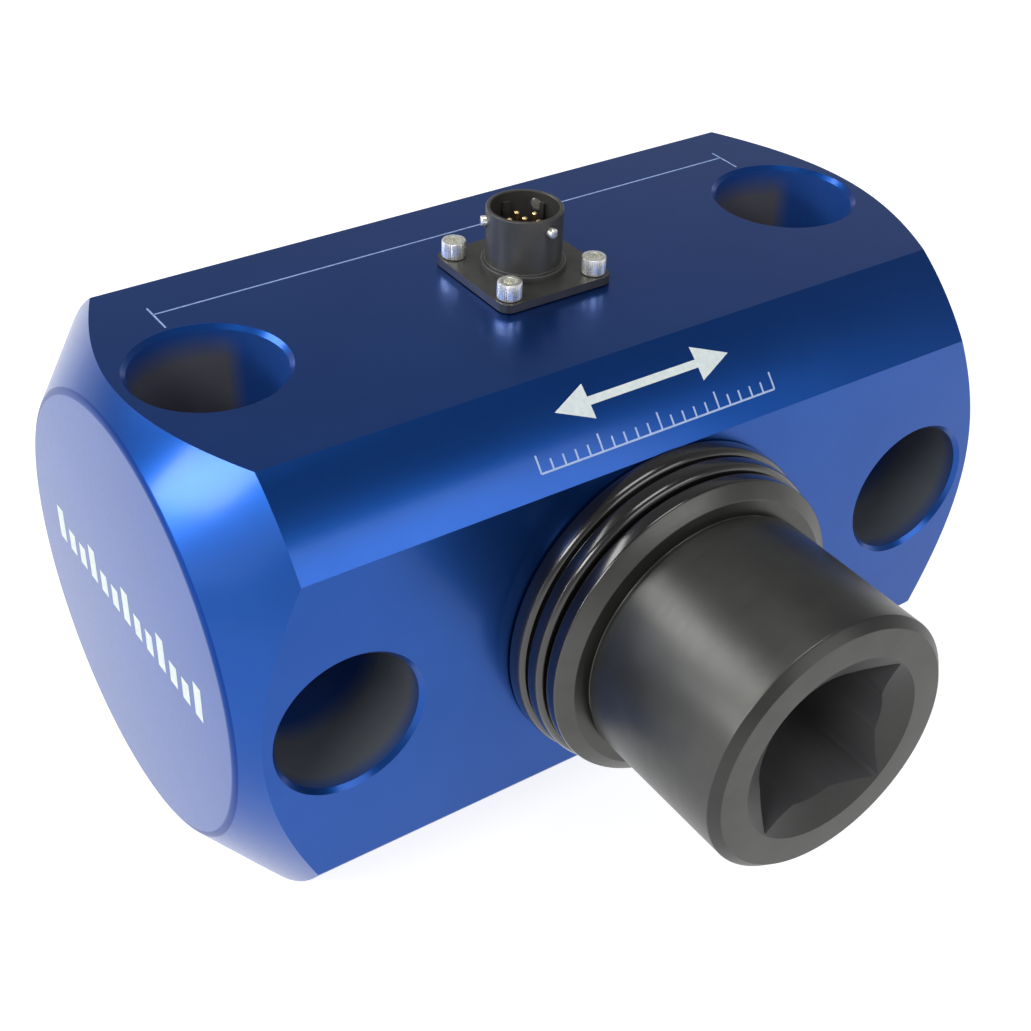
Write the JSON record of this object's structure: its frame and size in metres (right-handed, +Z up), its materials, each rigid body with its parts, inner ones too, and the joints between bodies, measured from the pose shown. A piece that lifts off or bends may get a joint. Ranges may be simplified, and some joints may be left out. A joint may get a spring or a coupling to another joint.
{
  "type": "torque transducer",
  "caption": "Static torque transducer: anodised block with crossing mounting holes, a ringed female square drive socket on the front and a round signal connector on top.",
  "frame": {"origin": "centre of the bottom flat of the block, halfway between its ends", "axes": "+X along the block, -Y out of the square drive socket, +Z up towards the connector"},
  "size_m": [0.165, 0.137, 0.1034],
  "materials": {
    "housing": "satin blue anodised, bead blasted, with bright broken edges at the holes",
    "shaft": "black oxide steel, fine turned, semi-gloss",
    "collar": "glossy black, polished rings",
    "seal": "matt black nitrile rubber",
    "bearing": "polished bearing steel",
    "cage": "machined brass",
    "anchor": "ground steel",
    "black_screw": "black oxide screw steel",
    "washer": "turned bright steel",
    "gauge": "amber polyimide film over foil",
    "board": "green coated circuit board",
    "lead": "grey sleeve over thin leads",
    "connector": "black coated aluminium shell",
    "insert": "black moulded insulator",
    "contact": "gold plated contact",
    "bright_screw": "bright stainless steel"
  },
  "bodies": {
    "root": {"housing": "housing", "measuring_shaft": "shaft", "front_collar": "collar", "collar_o_ring": "seal", "shaft_seal": "seal", "connector_o_ring": "seal", "bearing_outer_ring": "bearing", "bearing_inner_ring": "bearing", "bearing_ball_1": "bearing", "bearing_ball_2": "bearing", "bearing_ball_3": "bearing", "bearing_ball_4": "bearing", "bearing_ball_5": "bearing", "bearing_ball_6": "bearing", "bearing_ball_7": "bearing", "bearing_ball_8": "bearing", "bearing_ball_9": "bearing", "bearing_ball_10": "bearing", "bearing_ball_11": "bearing", "bearing_ball_12": "bearing", "bearing_cage": "cage", "anchor_plate": "anchor", "anchor_dowel_1": "anchor", "anchor_dowel_2": "anchor", "anchor_dowel_3": "anchor", "anchor_dowel_4": "anchor", "anchor_screw_1": "black_screw", "anchor_screw_2": "black_screw", "anchor_screw_3": "black_screw", "anchor_screw_4": "black_screw", "retaining_screw": "black_screw", "retaining_washer": "washer", "strain_gauge_1": "gauge", "strain_gauge_2": "gauge", "strain_gauge_3": "gauge", "strain_gauge_4": "gauge", "bridge_board": "board", "lead_bundle": "lead", "connector_shell": "connector", "connector_insert": "insert", "contact_pin_1": "contact", "contact_pin_2": "contact", "contact_pin_3": "contact", "contact_pin_4": "contact", "contact_pin_5": "contact", "contact_pin_6": "contact", "connector_screw_1": "bright_screw", "connector_screw_2": "bright_screw", "connector_screw_3": "bright_screw", "connector_screw_4": "bright_screw", "bayonet_pin_1": "bright_screw", "bayonet_pin_2": "bright_screw", "bayonet_pin_3": "bright_screw"}
  },
  "joints": []
}
